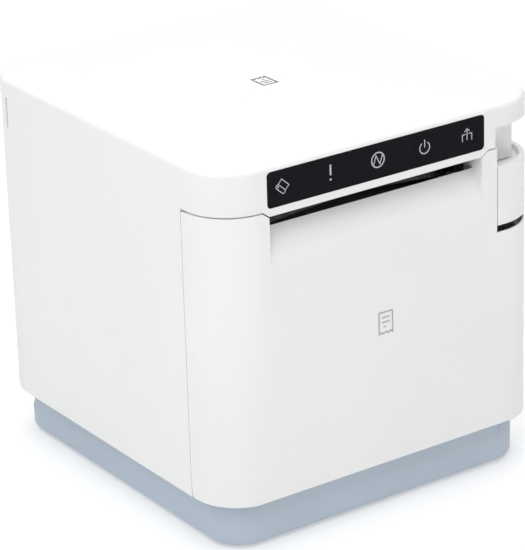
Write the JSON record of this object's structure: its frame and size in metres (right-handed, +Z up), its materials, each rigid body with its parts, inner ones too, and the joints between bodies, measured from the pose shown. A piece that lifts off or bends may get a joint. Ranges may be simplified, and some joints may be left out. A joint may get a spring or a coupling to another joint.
{
  "type": "receipt printer",
  "caption": "Cube-shaped countertop receipt printer with a front-opening paper cover, release lever, status panel and paper exit below the top band",
  "frame": {"origin": "middle of the footprint, on the table the feet stand on", "axes": "+X to the right seen from the front, +Y to the back, +Z up"},
  "size_m": [0.13, 0.139, 0.1305],
  "materials": {
    "case_white": "fine satin texture",
    "base_slate": "fine satin texture",
    "foot_rubber": "matte",
    "sheet_steel": "zinc plated",
    "steel_rod": "ground",
    "blade_steel": "hardened, ground",
    "screw_steel": "zinc plated",
    "dark_plastic": "fine texture",
    "black_plastic": "satin",
    "bin_grey": "satin",
    "circuit_board": "solder mask",
    "socket_metal": "tin plated",
    "head_ceramic": "glazed",
    "heatsink_alu": "extruded",
    "motor_steel": "satin black",
    "panel_gloss": "gloss",
    "lamp_clear": "clear",
    "platen_rubber": "ground matte",
    "gear_acetal": "moulded",
    "gear_brass": "machined",
    "hook_grey": "moulded",
    "flex_amber": "film"
  },
  "bodies": {
    "root": {"case_shell": "case_white", "base_tray": "base_slate", "rubber_feet": "foot_rubber", "base_screws": "screw_steel", "chassis_floor": "sheet_steel", "side_plate_left": "sheet_steel", "side_plate_right": "sheet_steel", "motor_plate": "sheet_steel", "plate_spacers": "steel_rod", "chassis_brace": "sheet_steel", "paper_bin": "bin_grey", "hinge_pins": "steel_rod", "main_board": "circuit_board", "board_components": "black_plastic", "io_plate": "sheet_steel", "dc_jack": "black_plastic", "usb_port": "socket_metal", "lan_port": "socket_metal", "drawer_port": "black_plastic", "print_head": "head_ceramic", "head_heatsink": "heatsink_alu", "head_springs": "steel_rod", "head_shaft": "steel_rod", "head_bracket": "sheet_steel", "head_flex": "flex_amber", "feed_motor": "motor_steel", "idler_pin": "steel_rod", "cutter_frame": "motor_steel", "cutter_motor": "motor_steel", "panel_window": "panel_gloss", "light_guides": "lamp_clear", "panel_board": "circuit_board", "panel_leds": "lamp_clear", "key_switches": "black_plastic", "paper_end_sensor": "black_plastic", "cover_switch": "black_plastic", "lever_spring": "steel_rod"},
    "cover": {"front_cover": "case_white", "cover_liner": "dark_plastic", "platen_frame": "dark_plastic", "platen_bushes": "gear_acetal", "fixed_blade": "blade_steel", "exit_guide": "black_plastic"},
    "platen": {"platen_roller": "platen_rubber", "platen_shaft": "steel_rod", "platen_gear": "gear_acetal"},
    "idler": {"idler_gear": "gear_acetal"},
    "motor_rotor": {"motor_pinion": "gear_brass"},
    "cutter_blade": {"moving_blade": "blade_steel"},
    "cutter_drive": {"cutter_pinion": "gear_brass"},
    "lever": {"open_lever": "case_white", "latch_shaft": "steel_rod", "latch_hook_left": "hook_grey", "latch_hook_right": "hook_grey"},
    "power_button": {"power_key": "panel_gloss"},
    "feed_button": {"feed_key": "panel_gloss"}
  },
  "joints": [
    {"name": "cover_hinge", "type": "hinge", "parent": "root", "child": "cover", "pos_m": [0, -0.0645, 0.0222], "axis": [1, 0, 0], "range_deg": [0, 90]},
    {"name": "lever_hinge", "type": "hinge", "parent": "root", "child": "lever", "pos_m": [0, -0.018, 0.112], "axis": [1, 0, 0], "range_deg": [0, 2.2], "stiffness_Nm_per_rad": 1, "springref_deg": -2.29},
    {"name": "power_key_press", "type": "slide", "parent": "root", "child": "power_button", "axis": [0, 1, 0], "range_m": [0, 0.0003], "stiffness_N_per_m": 500, "springref_m": -0.0004},
    {"name": "feed_key_press", "type": "slide", "parent": "root", "child": "feed_button", "axis": [0, 1, 0], "range_m": [0, 0.0003], "stiffness_N_per_m": 500, "springref_m": -0.0004},
    {"name": "platen_spin", "type": "hinge", "parent": "cover", "child": "platen", "pos_m": [0, -0.04762, 0.0927], "axis": [1, 0, 0], "continuous": true},
    {"name": "idler_spin", "type": "hinge", "parent": "root", "child": "idler", "pos_m": [0, -0.03157, 0.08522], "axis": [1, 0, 0], "continuous": true},
    {"name": "motor_spin", "type": "hinge", "parent": "root", "child": "motor_rotor", "pos_m": [0, -0.02432, 0.07266], "axis": [1, 0, 0], "continuous": true},
    {"name": "blade_slide", "type": "slide", "parent": "root", "child": "cutter_blade", "axis": [0, -0.4695, -0.8829], "range_m": [0, 0.005]},
    {"name": "cutter_pinion_spin", "type": "hinge", "parent": "root", "child": "cutter_drive", "pos_m": [0, -0.04208, 0.11015], "axis": [1, 0, 0], "range_deg": [0, 60]}
  ],
  "couplings": [
    {"joint": "idler_spin", "follows": "platen_spin", "ratio": -0.83333},
    {"joint": "motor_spin", "follows": "platen_spin", "ratio": 1.6667},
    {"joint": "cutter_pinion_spin", "follows": "blade_slide", "rad_per_m": 208.33}
  ]
}
